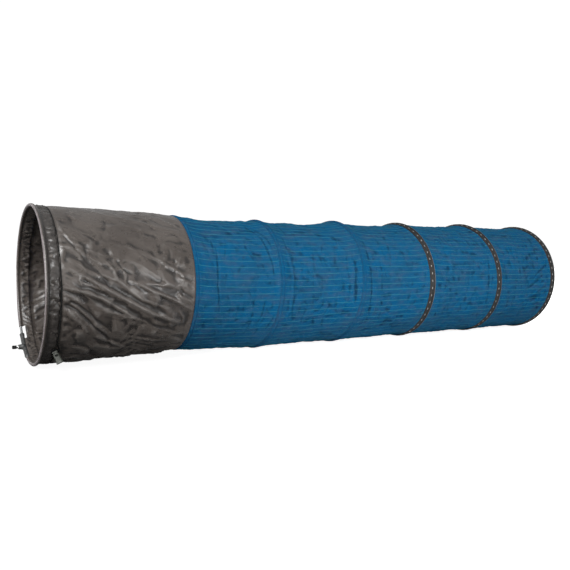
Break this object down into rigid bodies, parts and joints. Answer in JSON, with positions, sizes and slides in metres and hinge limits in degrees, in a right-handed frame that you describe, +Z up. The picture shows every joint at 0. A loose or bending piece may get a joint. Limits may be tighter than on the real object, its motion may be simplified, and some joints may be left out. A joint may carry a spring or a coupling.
{
  "type": "fishing keepnet",
  "caption": "Round fishing keepnet: a coated-fabric collar on a rigid mouth hoop, then a blue mesh tube on wire hoops that folds flat, with a drawcord, cord lock and bank-stick stud.",
  "frame": {"origin": "middle of the footprint, on the surface that the net lies on", "axes": "+X along the net from its mouth to its closed end, +Z up, and the bank-stick stud on the +Y side of the mouth"},
  "size_m": [2.3406, 0.5076, 0.5075],
  "materials": {
    "coated_cloth": "dark grey coated nylon, satin, finely wrinkled",
    "blue_mesh": "fine knitted blue mesh, partly see-through, with paler ribs along its length",
    "binding_tape": "dark grey woven tape with pale stitching",
    "bright_steel": "bright plated steel",
    "hoop_wire": "drawn spring-steel wire",
    "moulded_plastic": "dark grey moulded nylon",
    "black_plastic": "black moulded cap",
    "black_cord": "black braided cord",
    "lock_plastic": "grey-green moulded plastic"
  },
  "bodies": {
    "mouth": {"mouth_hoop": "bright_steel", "hoop_casing": "coated_cloth", "collar": "coated_cloth", "drawcord": "black_cord", "cord_lock_body": "lock_plastic", "cord_lock_spring": "bright_steel", "connector_body": "moulded_plastic", "connector_stud": "bright_steel", "stud_cap": "black_plastic"},
    "lock_button": {"cord_lock_button": "lock_plastic"},
    "ring_1": {"hoop_1": "hoop_wire", "ferrule_1": "bright_steel", "pocket_1": "blue_mesh", "mesh_panel_1": "blue_mesh"},
    "ring_2": {"hoop_2": "hoop_wire", "ferrule_2": "bright_steel", "pocket_2": "blue_mesh", "mesh_panel_2": "blue_mesh"},
    "ring_3": {"hoop_3": "hoop_wire", "ferrule_3": "bright_steel", "pocket_3": "blue_mesh", "mesh_panel_3": "blue_mesh"},
    "ring_4": {"hoop_4": "hoop_wire", "ferrule_4": "bright_steel", "binding_4": "binding_tape", "mesh_panel_4": "blue_mesh"},
    "ring_5": {"hoop_5": "hoop_wire", "ferrule_5": "bright_steel", "binding_5": "binding_tape", "mesh_panel_5": "blue_mesh"},
    "ring_6": {"hoop_6": "hoop_wire", "ferrule_6": "bright_steel", "binding_6": "binding_tape", "base_panel": "blue_mesh"}
  },
  "joints": [
    {"name": "fold_collar", "type": "slide", "parent": "mouth", "child": "ring_1", "axis": [-1, 0, 0], "range_m": [0, 0.37], "deforming": ["collar"]},
    {"name": "fold_bay_1", "type": "slide", "parent": "ring_1", "child": "ring_2", "axis": [-1, 0, 0], "range_m": [0, 0.25], "deforming": ["mesh_panel_1"]},
    {"name": "fold_bay_2", "type": "slide", "parent": "ring_2", "child": "ring_3", "axis": [-1, 0, 0], "range_m": [0, 0.291], "deforming": ["mesh_panel_2"]},
    {"name": "fold_bay_3", "type": "slide", "parent": "ring_3", "child": "ring_4", "axis": [-1, 0, 0], "range_m": [0, 0.291], "deforming": ["mesh_panel_3"]},
    {"name": "fold_bay_4", "type": "slide", "parent": "ring_4", "child": "ring_5", "axis": [-1, 0, 0], "range_m": [0, 0.337], "deforming": ["mesh_panel_4"]},
    {"name": "fold_bay_5", "type": "slide", "parent": "ring_5", "child": "ring_6", "axis": [-1, 0, 0], "range_m": [0, 0.313], "deforming": ["mesh_panel_5"]},
    {"name": "press_lock_button", "type": "slide", "parent": "mouth", "child": "lock_button", "axis": [0.3497, -0.3497, -0.8692], "range_m": [0, 0.003], "stiffness_N_per_m": 1500, "springref_m": -0.002, "deforming": ["cord_lock_spring"]}
  ]
}
